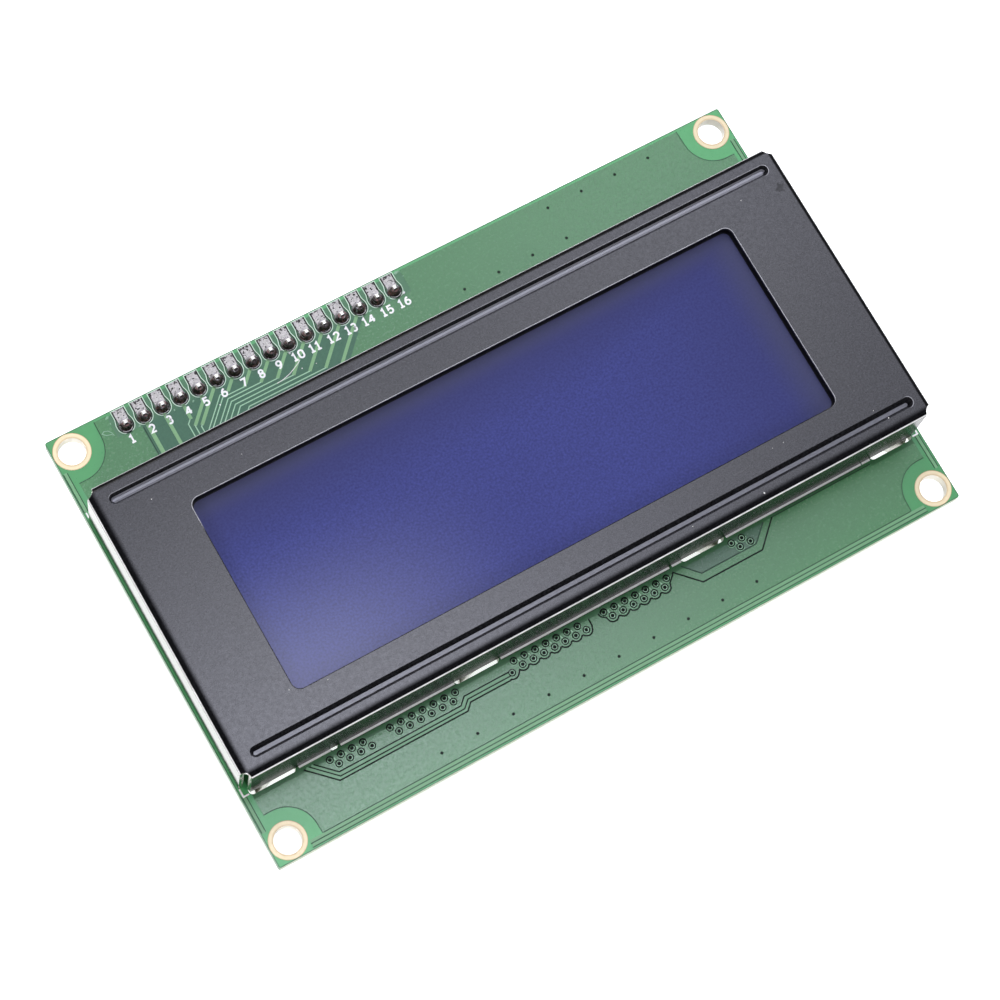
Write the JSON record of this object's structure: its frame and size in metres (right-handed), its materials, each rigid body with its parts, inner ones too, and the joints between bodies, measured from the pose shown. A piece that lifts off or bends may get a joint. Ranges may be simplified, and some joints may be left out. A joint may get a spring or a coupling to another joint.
{
  "type": "character lcd module",
  "caption": "Character display module: green circuit board with a folded black metal frame around a blue window, corner mounting holes and a pin header behind.",
  "frame": {"origin": "centre of the four mounting holes, on the front face of the circuit board", "axes": "+X along the pin header and the board's long side, +Y towards the header's edge of the board, +Z out of the display towards the viewer"},
  "size_m": [0.098, 0.06, 0.019],
  "materials": {
    "solder_mask": "semi-gloss green solder mask over glass-epoxy laminate",
    "ring_plating": "pale gold plating, slightly dull",
    "black_paint": "satin black paint on sheet steel",
    "display_film": "smooth glossy blue polarising film",
    "glass": "clear polished display glass",
    "elastomer": "matte conductive silicone",
    "white_plastic": "matte white moulded plastic",
    "white_film": "matte white film",
    "clear_acrylic": "polished acrylic",
    "led_board_white": "matte white laminate",
    "led_package": "yellow phosphor in a white package",
    "solder": "bright solder",
    "tinned_copper": "tinned copper, slightly rough",
    "tinned_metal": "bright tin plating",
    "black_plastic": "matte black moulded plastic",
    "chip_epoxy": "satin black epoxy",
    "resistor_ceramic": "black glaze with tinned ends",
    "capacitor_ceramic": "tan ceramic with tinned ends"
  },
  "bodies": {
    "root": {"backlight_housing": "white_plastic", "backlight_lead_anode": "tinned_metal", "backlight_lead_cathode": "tinned_metal", "backlight_led_1": "led_package", "backlight_led_2": "led_package", "backlight_led_3": "led_package", "backlight_led_4": "led_package", "backlight_led_5": "led_package", "backlight_led_6": "led_package", "bezel_frame": "black_paint", "chip_capacitor_1": "capacitor_ceramic", "chip_capacitor_2": "capacitor_ceramic", "chip_cover_1": "chip_epoxy", "chip_cover_2": "chip_epoxy", "chip_cover_3": "chip_epoxy", "chip_resistor_1": "resistor_ceramic", "chip_resistor_2": "resistor_ceramic", "chip_resistor_3": "resistor_ceramic", "chip_resistor_4": "resistor_ceramic", "chip_resistor_5": "resistor_ceramic", "chip_resistor_6": "resistor_ceramic", "chip_resistor_7": "resistor_ceramic", "chip_resistor_8": "resistor_ceramic", "circuit_board": "solder_mask", "diffuser_film": "white_film", "elastomer_strip_lower": "elastomer", "elastomer_strip_upper": "elastomer", "front_glass": "glass", "front_polarizer": "display_film", "header_body": "black_plastic", "header_pads": "tinned_copper", "header_pin_01": "tinned_metal", "header_pin_02": "tinned_metal", "header_pin_03": "tinned_metal", "header_pin_04": "tinned_metal", "header_pin_05": "tinned_metal", "header_pin_06": "tinned_metal", "header_pin_07": "tinned_metal", "header_pin_08": "tinned_metal", "header_pin_09": "tinned_metal", "header_pin_10": "tinned_metal", "header_pin_11": "tinned_metal", "header_pin_12": "tinned_metal", "header_pin_13": "tinned_metal", "header_pin_14": "tinned_metal", "header_pin_15": "tinned_metal", "header_pin_16": "tinned_metal", "header_solder": "solder", "lead_solder": "solder", "led_board": "led_board_white", "light_guide": "clear_acrylic", "mounting_hole_plating": "ring_plating", "rear_glass": "glass", "rear_polarizer": "display_film", "reflector_film": "white_film"}
  },
  "joints": []
}
